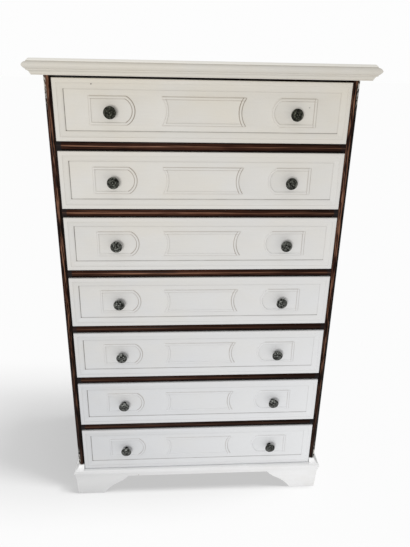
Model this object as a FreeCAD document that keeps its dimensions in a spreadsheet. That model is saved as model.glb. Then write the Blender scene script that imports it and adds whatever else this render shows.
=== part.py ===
import FreeCAD, Part
import math
import os
import Sketcher

# Semainier: a tall chest of seven equal drawers in a case of boards, on a bracket plinth.
# Millimetres. X runs along the front, +Y towards the back, +Z up. The origin lies on the
# floor, under the middle of the top board.

doc = FreeCAD.newDocument("semainier")
sheet = doc.addObject("Spreadsheet::Sheet", "Sizes")

SIZES = {
    # case
    "case_width": 800.0,
    "case_depth": 430.0,
    "side_thickness": 17.5,
    "bottom_thickness": 18.0,
    "back_thickness": 6.0,
    "back_rebate": 8.5,
    # moulded front edges of the case: posts and rails
    "post_depth": 20.0,
    "bead_setback": 2.0,
    "bead_rise": 3.0,
    "post_fillet": 2.5,
    "rail_fillet": 3.0,
    "rail_height": 22.2,
    "rail_depth": 60.0,
    # what carries the drawers
    "runner_width": 30.0,
    "runner_housing": 5.0,
    "stop_width": 40.0,
    "stop_depth": 10.0,
    "stop_height": 6.0,
    "stop_spread": 300.0,
    # top board and its moulded edge, from the underside up
    "top_overhang": 40.0,
    "top_thickness": 38.0,
    "top_gap": 6.0,
    "foot_inset": 17.0,
    "foot_height": 2.5,
    "cove_inset": 15.5,
    "cove_end_inset": 9.5,
    "cove_hollow": 1.5,
    "strip_inset": 8.0,
    "strip_low": 10.5,
    "strip_high": 13.5,
    "torus_inset": 7.25,
    "torus_middle": 22.0,
    "torus_top_inset": 8.6,
    "torus_low_bend": 1.0,
    "torus_high_bend": 1.7,
    "torus_top": 30.5,
    "crease_inset": 10.2,
    "crease_height": 31.2,
    "slope_inset": 9.0,
    "slope_height": 32.0,
    "lip_inset": 14.0,
    "lip_height": 37.0,
    "lip_round": 1.2,
    # plinth
    "base_height": 99.5,
    "plinth_inside": 13.0,
    "plinth_ledge": 11.0,
    "plinth_round": 1.2,
    "plinth_nose": 15.5,
    "plinth_nose_height": 93.5,
    "plinth_belly": 0.6,
    "plinth_swell": 13.4,
    "plinth_swell_height": 84.5,
    "plinth_hollow": 1.2,
    "plinth_neck": 9.5,
    "plinth_neck_height": 50.0,
    "plinth_toe": 7.5,
    "arch_height": 74.0,
    "foot_width": 80.0,
    "bracket_run": 84.0,
    "bracket_turn_run": 50.0,
    "bracket_turn_height": 46.0,
    "bracket_swell": 2.5,
    "bracket_hollow": 4.5,
    "corner_block": 40.0,
    "back_rail_height": 36.0,
    "back_rail_thickness": 18.0,
    "post_block_height": 16.5,
    "post_block_toe": 1.5,
    "post_block_hollow": 3.0,
    # drawers
    "drawer_count": 7.0,
    "front_height": 154.0,
    "front_thickness": 22.0,
    "front_edge_bevel": 1.5,
    "reveal": 1.5,
    "running_gap": 0.3,
    "drawer_length": 400.0,
    "board_thickness": 12.0,
    "side_drop": 16.0,
    "panel_thickness": 6.0,
    "panel_lift": 10.0,
    "panel_tongue": 6.0,
    "front_tail_count": 3.0,
    "front_tail_width": 32.0,
    "back_tail_count": 2.0,
    "back_tail_width": 40.0,
    "tail_slope": 2.0,
    # carved face of a drawer front: border, then beads on the sunk field
    "border_width": 26.5,
    "border_flat": 11.0,
    "border_step": 1.0,
    "border_hollow": 19.0,
    "border_hollow_depth": 3.0,
    "border_round": 24.0,
    "border_round_depth": 4.6,
    "field_depth": 7.0,
    "bead_width": 7.5,
    "bead_height": 3.0,
    "bead_bevel": 1.8,
    "outline_height": 72.0,
    "spool_half_length": 110.0,
    "spool_waist": 12.0,
    "dee_inner_end": 177.0,
    "dee_round": 22.0,
    "dee_outer_end": 295.0,
    # knobs
    "knob_spacing": 480.0,
    "knob_drop": 3.5,
    "knob_projection": 23.0,
    "knob_radius": 15.5,
    "knob_rim": 4.5,
    "knob_cup": 6.5,
    "knob_neck_radius": 5.5,
    "shank_width": 4.4,
    "shank_clearance": 0.1,
    "shank_end": 6.0,
    "nut_width": 11.0,
    "nut_thickness": 4.0,
    # how far a cutting shape runs past the wood
    "cut_margin": 1.0,
}

TOUCHING = 1e-4


class Size:
    """A length: its value in millimetres, and the sheet formula that gives it."""

    def __init__(self, value, formula):
        self.value = float(value)
        self.formula = formula

    def __add__(self, other):
        other = as_size(other)
        return Size(self.value + other.value, f"({self.formula} + {other.formula})")

    def __sub__(self, other):
        other = as_size(other)
        return Size(self.value - other.value, f"({self.formula} - {other.formula})")

    def __mul__(self, other):
        other = as_size(other)
        return Size(self.value * other.value, f"({self.formula} * {other.formula})")

    def __truediv__(self, other):
        other = as_size(other)
        return Size(self.value / other.value, f"({self.formula} / {other.formula})")

    def __neg__(self):
        return Size(-self.value, f"(-1 * {self.formula})")

    def root(self):
        return Size(math.sqrt(self.value), f"sqrt({self.formula})")


def as_size(number):
    return number if isinstance(number, Size) else Size(number, str(number))


def write_sheet():
    """Fill the sheet with one named cell per driving size, and hand the names back."""
    names = {}
    for row, (name, value) in enumerate(SIZES.items(), start=1):
        sheet.set(f"A{row}", name)
        sheet.set(f"B{row}", str(value))
        sheet.setAlias(f"B{row}", name)
        names[name] = Size(value, f"{sheet.Name}.{name}")
    doc.recompute()
    return names


size = write_sheet()
ZERO = as_size(0)

# Places that several pieces share.
half_case = size["case_width"] / 2
front = (size["top_overhang"] - size["case_depth"]) / 2
back = (size["top_overhang"] + size["case_depth"]) / 2
half_opening = half_case - size["side_thickness"]
case_floor = size["base_height"]
rebate_floor = case_floor - size["bottom_thickness"]
bead_crest = front + size["bead_setback"]
bead_quirk = bead_crest + size["bead_rise"]
post_back = front + size["post_depth"] + size["bead_setback"]
rail_back = front + size["bead_setback"] + size["rail_depth"]
panel_front = back - size["back_thickness"]
drawer_pitch = size["front_height"] + size["rail_height"] + size["reveal"] * 2
margin = size["cut_margin"]
DRAWERS = range(1, int(SIZES["drawer_count"]) + 1)


def drawer_level(number):
    """Height of the surface that a drawer slides on; number 1 is the top drawer."""
    return case_floor + drawer_pitch * (size["drawer_count"] - number)


case_top = drawer_level(1) + size["reveal"] + size["front_height"] + size["top_gap"]


# --- drawing helpers: every coordinate is bound to the sheet ---

def bind(thing, **formulas):
    """Bind properties to sizes; a double underscore in a name stands for a dot."""
    for name, length in formulas.items():
        thing.setExpression(name.replace("__", "."), as_size(length).formula)


def origin_plane(body, role):
    return [plane for plane in body.Origin.OriginFeatures if plane.Role == role][0]


def new_body(name):
    return doc.addObject("PartDesign::Body", name)


def new_sketch(body, role, name, offset=ZERO):
    """A sketch on a body's origin plane, moved along the plane's normal by offset."""
    sketch = body.newObject("Sketcher::SketchObject", name)
    sketch.AttachmentSupport = (origin_plane(body, role), [""])
    sketch.MapMode = "FlatFace"
    bind(sketch, AttachmentOffset__Base__z=offset)
    return sketch


def arc_between(start, end, bend):
    """Arc over a chord, rising by bend on the left of the way; its ends run anticlockwise."""
    chord = end - start
    left = FreeCAD.Vector(-chord.y, chord.x, 0).normalize()
    radius = chord.Length ** 2 / (8 * abs(bend)) + abs(bend) / 2
    towards_centre = -left if bend > 0 else left
    centre = (start + end) * 0.5 + towards_centre * (radius - abs(bend))
    first, last = (end, start) if bend > 0 else (start, end)
    angles = [math.atan2(point.y - centre.y, point.x - centre.x) for point in (first, last)]
    if angles[1] < angles[0]:
        angles[1] += 2 * math.pi
    circle = Part.Circle(centre, FreeCAD.Vector(0, 0, 1), radius)
    return Part.ArcOfCircle(circle, angles[0], angles[1])


def draw(sketch, corners):
    """Add a closed outline. A corner is (across, up) or (across, up, bend): bend is how far
    an arc to the next corner rises over its chord, positive on the left of the way."""
    base = sketch.GeometryCount
    corners = [[as_size(number) for number in corner] for corner in corners]
    points = [FreeCAD.Vector(corner[0].value, corner[1].value, 0) for corner in corners]
    shapes, start_ends, radii = [], [], []
    for index, corner in enumerate(corners):
        following = (index + 1) % len(corners)
        begin, end = points[index], points[following]
        if len(corner) == 2:
            shapes.append(Part.LineSegment(begin, end))
            start_ends.append((1, 2))
            continue
        bend = corner[2]
        shapes.append(arc_between(begin, end, bend.value))
        start_ends.append((2, 1) if bend.value > 0 else (1, 2))
        run = corners[following][0] - corner[0]
        rise = corners[following][1] - corner[1]
        height = bend if bend.value > 0 else -bend
        radii.append((base + index, arc_radius(run * run + rise * rise, height)))
    sketch.addGeometry(shapes, False)
    constraints, formulas = [], []
    for index, corner in enumerate(corners):
        following = (index + 1) % len(corners)
        constraints.append(Sketcher.Constraint(
            "Coincident", base + index, start_ends[index][1],
            base + following, start_ends[following][0]))
        formulas.append(None)
        for kind, place in (("DistanceX", corner[0]), ("DistanceY", corner[1])):
            constraints.append(Sketcher.Constraint(
                kind, -1, 1, base + index, start_ends[index][0], place.value))
            formulas.append(place.formula)
    for geometry, radius in radii:
        constraints.append(Sketcher.Constraint("Radius", geometry, radius.value))
        formulas.append(radius.formula)
    first = sketch.ConstraintCount
    sketch.addConstraint(constraints)
    for index, formula in enumerate(formulas):
        if formula is not None:
            sketch.setExpression(f"Constraints[{first + index}]", formula)


def arc_radius(chord_squared, height):
    """Radius of an arc from the square of its chord and its rise over the chord."""
    return chord_squared / (height * 8) + height / 2


def mirrored_up(corners, middle):
    """A way of corners mirrored about the level middle and walked backwards."""
    return [(across, middle * 2 - up) for across, up in reversed(corners)]


def swapped(corners):
    """A way of corners with across and up exchanged."""
    return [(up, across) for across, up in corners]


def pad(body, sketch, length):
    """Add material from the sketch along its normal."""
    feature = body.newObject("PartDesign::Pad", sketch.Name + "_pad")
    feature.Profile = sketch
    bind(feature, Length=length)
    return feature


def pocket(body, sketch, length, along_normal=False):
    """Cut from the sketch, against its normal unless along_normal is set."""
    feature = body.newObject("PartDesign::Pocket", sketch.Name + "_cut")
    feature.Profile = sketch
    feature.Reversed = along_normal
    bind(feature, Length=length)
    return feature


def mirror_in_body(body, feature):
    """Repeat a feature on the other side of the middle plane of the chest."""
    mirrored = body.newObject("PartDesign::Mirrored", feature.Name + "_mirrored")
    mirrored.Originals = [feature]
    mirrored.MirrorPlane = (origin_plane(body, "YZ_Plane"), [""])
    body.Tip = mirrored
    return mirrored


def box(name, x_span, y_span, z_span):
    """A plain board, between two sizes along each axis."""
    board = doc.addObject("Part::Box", name)
    spans = [[as_size(low), as_size(high)] for low, high in (x_span, y_span, z_span)]
    (x_low, x_high), (y_low, y_high), (z_low, z_high) = spans
    bind(board, Length=x_high - x_low, Width=y_high - y_low, Height=z_high - z_low,
         Placement__Base__x=x_low, Placement__Base__y=y_low, Placement__Base__z=z_low)
    return board


def mirror(name, source):
    """The other hand of a piece, across the middle plane of the chest."""
    other = doc.addObject("Part::Mirroring", name)
    other.Source = source
    other.Normal = FreeCAD.Vector(1, 0, 0)
    return other


def group(name, members, x=ZERO, y=ZERO, z=ZERO):
    """Like pieces that share a name, or one piece set at its place in the chest."""
    together = doc.addObject("Part::Compound", name)
    together.Links = members
    bind(together, Placement__Base__x=x, Placement__Base__y=y, Placement__Base__z=z)
    return together


subparts = []


def keep(thing, label):
    """Give a finished sub-part the name that it is written out under."""
    thing.Label = label
    subparts.append(thing)


# --- the top board: a thick board moulded on its front and on both ends ---

def top_edge(nose):
    """The moulded edge from the underside up; nose is where it reaches furthest out."""
    way = [
        ("foot_inset", 0, None),
        ("foot_inset", "foot_height", None),
        ("cove_inset", "foot_height", -size["cove_hollow"]),
        ("cove_end_inset", "strip_low", None),
        ("strip_inset", "strip_low", None),
        ("strip_inset", "strip_high", None),
        ("torus_inset", "strip_high", size["torus_low_bend"]),
        (0, "torus_middle", size["torus_high_bend"]),
        ("torus_top_inset", "torus_top", None),
        ("crease_inset", "crease_height", None),
        ("slope_inset", "slope_height", None),
        ("lip_inset", "lip_height", None),
    ]
    corners = []
    for inset, height, bend in way:
        across = nose + (size[inset] if inset else ZERO)
        up = case_top + (size[height] if height else ZERO)
        corners.append((across, up) if bend is None else (across, up, bend))
    corners.append((nose + size["lip_inset"] + size["lip_round"],
                    case_top + size["top_thickness"]))
    return corners


def make_top_board():
    """Front moulding first, along the whole length; the ends are then cut to it."""
    body = new_body("top_board_body")
    half_top = half_case + size["top_overhang"]
    nose = front - size["top_overhang"]
    section = new_sketch(body, "YZ_Plane", "top_section", -half_top)
    draw(section, top_edge(nose) + [(back, case_top + size["top_thickness"]),
                                    (back, case_top)])
    pad(body, section, half_top * 2)
    ends = new_sketch(body, "XZ_Plane", "top_ends", -(back + margin))
    over = case_top + size["top_thickness"] + margin
    edge = top_edge(-half_top)
    draw(ends, [(edge[0][0], case_top - margin)] + edge
         + [(edge[-1][0], over), (-half_top - margin, over),
            (-half_top - margin, case_top - margin)])
    mirror_in_body(body, pocket(body, ends, back - nose + margin * 2, along_normal=True))
    keep(body, "top_board")


# --- the case: side panels, moulded posts and rails, bottom, back and runners ---

def runner_tops():
    """Upper faces of the runners: under the top board, then one under each drawer but the
    lowest, which slides on the bottom board."""
    return [case_top] + [drawer_level(number) for number in DRAWERS[:-1]]


def make_side_panels():
    """A plain board with a housing for each runner and a rebate for the back panel."""
    body = new_body("side_panel_body")
    outline = new_sketch(body, "YZ_Plane", "side_outline", -half_case)
    draw(outline, [(post_back, case_floor), (back, case_floor),
                   (back, case_top), (post_back, case_top)])
    pad(body, outline, size["side_thickness"])
    housings = new_sketch(body, "YZ_Plane", "side_housings", -half_opening)
    for upper in runner_tops():
        lower = upper - size["rail_height"]
        draw(housings, [(rail_back, lower), (panel_front, lower),
                        (panel_front, upper), (rail_back, upper)])
    pocket(body, housings, size["runner_housing"])
    rebate = new_sketch(body, "YZ_Plane", "side_rebate", -half_opening)
    draw(rebate, [(panel_front, case_floor - margin), (back + margin, case_floor - margin),
                  (back + margin, case_top + margin), (panel_front, case_top + margin)])
    pocket(body, rebate, size["back_rebate"])
    keep(body, "side_left")
    keep(mirror("side_right_mirror", body), "side_right")


def make_posts():
    """Front edge of each side: a strip with a bead between two small fillets."""
    body = new_body("post_body")
    foot = case_floor + size["post_block_height"]
    outer, inner = -half_case, -half_opening
    fillet = size["post_fillet"]
    section = new_sketch(body, "XY_Plane", "post_section", foot)
    draw(section, [(outer, post_back), (outer, bead_quirk),
                   (outer + fillet, bead_quirk, -size["bead_rise"]),
                   (inner - fillet, bead_quirk), (inner, bead_quirk), (inner, post_back)])
    pad(body, section, case_top - foot)
    keep(body, "post_left")
    keep(mirror("post_right_mirror", body), "post_right")


def make_rails():
    """Rails between the drawers, moulded like the posts, and a plain one under the top board
    behind the upper edge of the first drawer front."""
    fillet = size["rail_fillet"]
    low = -size["rail_height"]
    body = new_body("rail_body")
    section = new_sketch(body, "YZ_Plane", "rail_section", -half_opening)
    draw(section, [(rail_back, low), (rail_back, ZERO), (bead_quirk, ZERO),
                   (bead_quirk, -fillet, -size["bead_rise"]),
                   (bead_quirk, low + fillet), (bead_quirk, low)])
    pad(body, section, half_opening * 2)
    rails = [group(f"rail_{number}", [body], z=drawer_level(number))
             for number in DRAWERS[:-1]]
    keep(group("front_rails_group", rails), "front_rails")
    start = front + size["front_thickness"] + size["bead_setback"]
    keep(box("top_rail_board", (-half_opening, half_opening), (start, rail_back),
             (case_top - size["rail_height"], case_top)), "top_rail")


def make_runners():
    """Strips that the drawer sides slide on, housed in the side panels. The one under the
    top board only keeps the first drawer from tipping."""
    outer = half_opening + size["runner_housing"]
    inner = half_opening - size["runner_width"]
    for hand, span in (("left", (-outer, -inner)), ("right", (inner, outer))):
        strips = [box(f"runner_{hand}_{place}", span, (rail_back, panel_front),
                      (upper - size["rail_height"], upper))
                  for place, upper in enumerate(runner_tops())]
        keep(group(f"runners_{hand}_group", strips), f"runners_{hand}")


def make_drawer_stops():
    """Two small blocks behind each drawer front, which it closes against."""
    near = front + size["front_thickness"] + size["running_gap"]
    half_width = size["stop_width"] / 2
    blocks = []
    for number in DRAWERS:
        level = drawer_level(number)
        for hand, middle in (("left", size["stop_spread"] / -2),
                             ("right", size["stop_spread"] / 2)):
            blocks.append(box(f"stop_{number}_{hand}",
                              (middle - half_width, middle + half_width),
                              (near, near + size["stop_depth"]),
                              (level, level + size["stop_height"])))
    keep(group("drawer_stops_group", blocks), "drawer_stops")


def make_back_and_bottom():
    """Bottom board on the plinth, and a thin back panel standing on it in the rebates."""
    keep(box("bottom", (-half_case, half_case), (front, back), (rebate_floor, case_floor)),
         "bottom_board")
    half_back = half_opening + size["back_rebate"]
    keep(box("back", (-half_back, half_back), (panel_front, back), (case_floor, case_top)),
         "back_panel")


# --- the plinth: moulded boards, mitred at the front corners, cut to bracket feet ---

def plinth_profile(face):
    """Section of a plinth board on the low side of face, the line of the case: over its ledge,
    down its moulded face and back up its rebated inside."""
    inner = face + size["plinth_inside"]
    return [
        (face, case_floor),
        (face - size["plinth_ledge"], case_floor, -size["plinth_round"]),
        (face - size["plinth_nose"], size["plinth_nose_height"], -size["plinth_belly"]),
        (face - size["plinth_swell"], size["plinth_swell_height"], size["plinth_hollow"]),
        (face - size["plinth_neck"], size["plinth_neck_height"]),
        (face - size["plinth_toe"], ZERO),
        (inner, ZERO),
        (inner, rebate_floor),
        (face, rebate_floor),
    ]


def arch_outline(low_toe, high_toe):
    """Opening between two bracket feet: an ogee up from each toe to a level apron."""
    height, run = size["arch_height"], size["bracket_run"]
    turn_run, turn_height = size["bracket_turn_run"], size["bracket_turn_height"]
    hollow, swell = size["bracket_hollow"], -size["bracket_swell"]
    return [
        (low_toe, ZERO, hollow),
        (low_toe + turn_run, turn_height, swell),
        (low_toe + run, height),
        (high_toe - run, height, swell),
        (high_toe - turn_run, turn_height, hollow),
        (high_toe, ZERO),
        (high_toe, -margin),
        (low_toe, -margin),
    ]


def cove_corners(face):
    """Small cove above the plinth's ledge: its top at the case, its toe over the ledge."""
    return [(face, case_floor + size["post_block_height"], size["post_block_hollow"]),
            (face - size["plinth_ledge"], case_floor + size["post_block_toe"])]


def make_plinth_front():
    body = new_body("plinth_front_body")
    end = half_case + size["plinth_nose"]
    section = new_sketch(body, "YZ_Plane", "plinth_front_section", -end)
    draw(section, plinth_profile(front))
    pad(body, section, end * 2)
    reach = size["plinth_nose"] + margin
    inside = size["plinth_inside"] + margin
    mitre = new_sketch(body, "XY_Plane", "plinth_front_mitre", -margin)
    draw(mitre, [(-half_case + inside, front + inside), (-half_case - reach, front - reach),
                 (-half_case - reach, front + inside)])
    mirror_in_body(body, pocket(body, mitre, case_floor + margin * 2, along_normal=True))
    arch = new_sketch(body, "XZ_Plane", "plinth_front_arch", -(front + inside))
    toe = half_case - size["foot_width"]
    draw(arch, arch_outline(-toe, toe))
    pocket(body, arch, inside + reach, along_normal=True)
    keep(body, "plinth_front")


def make_plinth_sides():
    """Like the front, plus a cove that hides the foot of the side panel."""
    body = new_body("plinth_side_body")
    section = new_sketch(body, "XZ_Plane", "plinth_side_section", -back)
    draw(section, plinth_profile(-half_case))
    pad(body, section, back - front + size["plinth_nose"])
    cove = new_sketch(body, "XZ_Plane", "plinth_side_cove", -back)
    foot = case_floor - margin
    draw(cove, [(-half_case, foot)] + cove_corners(-half_case)
         + [(-half_case - size["plinth_ledge"], foot)])
    pad(body, cove, back - post_back)
    reach = size["plinth_nose"] + margin
    inside = size["plinth_inside"] + margin
    mitre = new_sketch(body, "XY_Plane", "plinth_side_mitre", -margin)
    draw(mitre, [(-half_case + inside, front + inside), (-half_case - reach, front - reach),
                 (-half_case + inside, front - reach)])
    pocket(body, mitre, case_floor + margin * 2, along_normal=True)
    arch = new_sketch(body, "YZ_Plane", "plinth_side_arch", -(half_case + reach))
    draw(arch, arch_outline(front + size["foot_width"], back - size["foot_width"]))
    pocket(body, arch, inside + reach, along_normal=True)
    keep(body, "plinth_left")
    keep(mirror("plinth_right_mirror", body), "plinth_right")


def make_post_blocks():
    """Small block under each post, coved on its front and its outer side."""
    body = new_body("post_block_body")
    top = case_floor + size["post_block_height"]
    beyond = -(half_case + size["plinth_ledge"])
    section = new_sketch(body, "YZ_Plane", "post_block_section", beyond)
    draw(section, [(post_back, case_floor), (post_back, top)] + cove_corners(front)
         + [(front - size["plinth_ledge"], case_floor)])
    pad(body, section, size["side_thickness"] + size["plinth_ledge"])
    waste = new_sketch(body, "XZ_Plane", "post_block_waste", -(post_back + margin))
    cove = cove_corners(-half_case)
    draw(waste, [(-half_case, top + margin)] + cove
         + [(beyond - margin, cove[-1][1]), (beyond - margin, top + margin)])
    pocket(body, waste, post_back - front + size["plinth_ledge"] + margin * 2,
           along_normal=True)
    other = mirror("post_block_mirror", body)
    keep(group("post_blocks_group", [body, other]), "post_blocks")


def make_plinth_inside():
    """Rail across the back of the plinth, and a glued block in each corner."""
    inner = half_case - size["plinth_inside"]
    rail_front = back - size["back_rail_thickness"]
    keep(box("plinth_back_board", (-inner, inner), (rail_front, back),
             (rebate_floor - size["back_rail_height"], rebate_floor)), "plinth_back")
    block = size["corner_block"]
    near = front + size["plinth_inside"]
    blocks = []
    for hand, span in (("left", (-inner, block - inner)), ("right", (inner - block, inner))):
        for end, low in (("front", near), ("back", rail_front - block)):
            blocks.append(box(f"{end}_block_{hand}", span, (low, low + block),
                              (ZERO, rebate_floor)))
    keep(group("corner_blocks_group", blocks), "corner_blocks")


# --- one drawer, in its own frame: y = 0 at its face, z = 0 on what it slides on ---

half_front = half_opening - size["reveal"]
front_low = size["reveal"]
front_high = front_low + size["front_height"]
front_middle = front_low + size["front_height"] / 2
knob_level = front_middle - size["knob_drop"]
side_low = size["running_gap"]
side_high = side_low + size["front_height"] - size["side_drop"]
panel_low = side_low + size["panel_lift"]
panel_high = panel_low + size["panel_thickness"]
board = size["board_thickness"]
lap = size["front_thickness"] - board
half_inside = half_front - board
back_face = size["drawer_length"] - board


def tails(low, high, count, width, root, tip):
    """Outlines of the dovetails of a drawer side, spread evenly from low to high, each
    listed upwards from the lower corner of its root."""
    pitch = (high - low) / size[count]
    at_tip = size[width] / 2
    at_root = at_tip - size["tail_slope"]
    outlines = []
    for number in range(int(SIZES[count])):
        middle = low + pitch * (number + 0.5)
        outlines.append([(root, middle - at_root), (tip, middle - at_tip),
                         (tip, middle + at_tip), (root, middle + at_root)])
    return outlines


def front_tails():
    return tails(side_low, side_high, "front_tail_count", "front_tail_width",
                 size["front_thickness"], lap)


def back_tails():
    return tails(panel_high, side_high, "back_tail_count", "back_tail_width",
                 back_face, size["drawer_length"])


def border_way(low):
    """The border of a drawer front seen in plan, from its outer edge at low inwards: a flat,
    a small step, a hollow and a round down to the sunk field."""
    return [
        (low, ZERO),
        (low + size["border_flat"], ZERO),
        (low + size["border_flat"], size["border_step"]),
        (low + size["border_hollow"], size["border_hollow_depth"]),
        (low + size["border_round"], size["border_round_depth"]),
        (low + size["border_width"], size["field_depth"]),
    ]


def draw_spool(sketch, inset):
    """Middle outline, with a hollow at each end."""
    half_height = size["outline_height"] / 2 - inset
    radius = arc_radius(size["outline_height"] * size["outline_height"],
                        size["spool_waist"])
    waist = size["spool_half_length"] - size["spool_waist"]
    bend = curve_rise(radius + inset, half_height)
    end = waist - inset + bend
    draw(sketch, [(-end, front_middle - half_height), (end, front_middle - half_height, bend),
                  (end, front_middle + half_height),
                  (-end, front_middle + half_height, bend)])


def draw_dee(sketch, inset, hand):
    """End outline round a knob, with a bold round at its inner end; hand is -1 or 1."""
    half_height = size["outline_height"] / 2 - inset
    radius = arc_radius(size["outline_height"] * size["outline_height"], size["dee_round"])
    bend = curve_rise(radius - inset, half_height)
    shoulder = size["dee_inner_end"] + inset + bend
    outer = size["dee_outer_end"] - inset
    draw(sketch, [(outer * hand, front_middle - half_height),
                  (outer * hand, front_middle + half_height),
                  (shoulder * hand, front_middle + half_height, bend * -hand),
                  (shoulder * hand, front_middle - half_height)])


def curve_rise(radius, half_chord):
    """Rise of an arc over its chord."""
    return radius - (radius * radius - half_chord * half_chord).root()


def edges_at_face(shape, depth, wanted):
    """Names of the edges that lie flat at one depth and whose bounds are wanted."""
    names = []
    for number, edge in enumerate(shape.Edges, start=1):
        bounds = edge.BoundBox
        if max(abs(bounds.YMin - depth), abs(bounds.YMax - depth)) < TOUCHING and wanted(bounds):
            names.append(f"Edge{number}")
    return names


def make_drawer_front():
    """A moulded border round a sunk field, with three raised bead outlines on it. The back
    has sockets for the tails of the sides, a groove for the bottom and two holes."""
    body = new_body("drawer_front_body")
    thickness = size["front_thickness"]
    section = new_sketch(body, "YZ_Plane", "front_section", -half_front)
    low_border = swapped(border_way(front_low))
    draw(section, [(thickness, front_low)] + low_border
         + mirrored_up(low_border, front_middle) + [(thickness, front_high)])
    pad(body, section, half_front * 2)
    stile = new_sketch(body, "XY_Plane", "front_stile", front_low)
    inmost = -half_front + size["border_width"]
    draw(stile, [(-half_front, thickness)] + border_way(-half_front) + [(inmost, thickness)])
    blank = mirror_in_body(body, pad(body, stile, size["front_height"]))
    doc.recompute()
    eased = body.newObject("PartDesign::Chamfer", "front_edge_bevel")
    limit = half_front.value - TOUCHING
    low_limit, high_limit = front_low.value + TOUCHING, front_high.value - TOUCHING
    eased.Base = (blank, edges_at_face(blank.Shape, 0, lambda bounds: (
        bounds.XMax < -limit or bounds.XMin > limit
        or bounds.ZMax < low_limit or bounds.ZMin > high_limit)))
    bind(eased, Size=size["front_edge_bevel"])
    add_beads(body)
    cut_front_joints(body)
    return body


def draw_outlines(body, name, depth, inset):
    """Sketch of the three bead outlines at one depth."""
    outlines = new_sketch(body, "XZ_Plane", name, -depth)
    draw_spool(outlines, inset)
    draw_dee(outlines, inset, -1)
    draw_dee(outlines, inset, 1)
    return outlines


def add_beads(body):
    """Three bead outlines on the field, bevelled on both sides: raised islands first, then
    the field is sunk again inside each."""
    height, bevel = size["bead_height"], size["bead_bevel"]
    slope = f"-atan({bevel.formula} / {height.formula})"
    islands = draw_outlines(body, "front_islands", size["field_depth"], ZERO)
    raised = pad(body, islands, height)
    raised.setExpression("TaperAngle", slope)
    hollows = draw_outlines(body, "front_hollows", size["field_depth"] - height,
                            size["bead_width"] - bevel)
    sunk = pocket(body, hollows, height)
    sunk.setExpression("TaperAngle", slope)


def cut_front_joints(body):
    """Sockets at both ends, a groove along the back and a hole for each knob."""
    thickness = size["front_thickness"]
    sockets = new_sketch(body, "YZ_Plane", "front_sockets", -half_front - margin)
    for outline in front_tails():
        draw(sockets, [(thickness + margin, outline[0][1])] + outline
             + [(thickness + margin, outline[-1][1])])
    mirror_in_body(body, pocket(body, sockets, board + margin, along_normal=True))
    groove = new_sketch(body, "XZ_Plane", "front_groove", -(thickness + margin))
    draw(groove, [(-half_inside, panel_low), (half_inside, panel_low),
                  (half_inside, panel_high), (-half_inside, panel_high)])
    pocket(body, groove, size["panel_tongue"] + margin, along_normal=True)
    holes = new_sketch(body, "XZ_Plane", "front_holes", -(thickness + margin))
    for spread in (size["knob_spacing"] / -2, size["knob_spacing"] / 2):
        draw_square(holes, spread, size["shank_width"] + size["shank_clearance"] * 2)
    pocket(body, holes, thickness + margin * 2, along_normal=True)


def make_drawer_side():
    """Tails at both ends, and a groove for the bottom along the inside."""
    body = new_body("drawer_side_body")
    outline = new_sketch(body, "YZ_Plane", "drawer_side_outline", -half_front)
    front_end = [corner for tail in front_tails() for corner in tail]
    back_end = [corner for tail in reversed(back_tails()) for corner in reversed(tail)]
    draw(outline, [(size["front_thickness"], side_low)] + front_end
         + [(size["front_thickness"], side_high), (back_face, side_high)] + back_end
         + [(back_face, panel_high), (size["drawer_length"], panel_high),
            (size["drawer_length"], side_low)])
    pad(body, outline, board)
    groove = new_sketch(body, "YZ_Plane", "drawer_side_groove", -half_inside)
    near, far = lap - margin, size["drawer_length"] + margin
    draw(groove, [(near, panel_low), (far, panel_low), (far, panel_high), (near, panel_high)])
    pocket(body, groove, size["panel_tongue"])
    return body


def make_drawer_back():
    """Stands on the bottom panel, between the tails of the sides."""
    body = new_body("drawer_back_body")
    outline = new_sketch(body, "XZ_Plane", "drawer_back_outline", -size["drawer_length"])
    draw(outline, [(-half_front, panel_high), (half_front, panel_high),
                   (half_front, side_high), (-half_front, side_high)])
    pad(body, outline, board)
    sockets = new_sketch(body, "YZ_Plane", "drawer_back_sockets", -half_front - margin)
    for tail in back_tails():
        draw(sockets, tail)
    mirror_in_body(body, pocket(body, sockets, board + margin, along_normal=True))
    return body


def draw_square(sketch, across, width):
    """Square about the level of the knobs."""
    half = width / 2
    draw(sketch, [(across - half, knob_level - half), (across + half, knob_level - half),
                  (across + half, knob_level + half), (across - half, knob_level + half)])


def make_knob():
    """Cupped head on a neck, turned in one piece, with a square shank through the wood that
    keeps it from turning."""
    body = new_body("knob_body")
    field = size["field_depth"]
    crown = field - size["knob_projection"]
    rim_back = crown + size["knob_rim"]
    neck_front = rim_back + size["knob_cup"]
    section = new_sketch(body, "XY_Plane", "knob_section", knob_level)
    draw(section, [(ZERO, field), (size["knob_neck_radius"], field),
                   (size["knob_neck_radius"], neck_front), (size["knob_radius"], rim_back),
                   (size["knob_radius"], crown), (ZERO, crown)])
    turned = body.newObject("PartDesign::Revolution", "knob_turning")
    turned.Profile = section
    turned.ReferenceAxis = (section, ["V_Axis"])
    tip = size["front_thickness"] + size["shank_end"]
    shank = new_sketch(body, "XZ_Plane", "knob_shank", -tip)
    draw_square(shank, ZERO, size["shank_width"])
    pad(body, shank, tip - field)
    return body


def make_knob_nut():
    """Square nut on the shank, inside the drawer."""
    body = new_body("knob_nut_body")
    thickness = size["nut_thickness"]
    outline = new_sketch(body, "XZ_Plane", "knob_nut_outline",
                         -(size["front_thickness"] + thickness))
    draw_square(outline, ZERO, size["nut_width"])
    draw_square(outline, ZERO, size["shank_width"] + size["shank_clearance"] * 2)
    pad(body, outline, thickness)
    return body


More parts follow.
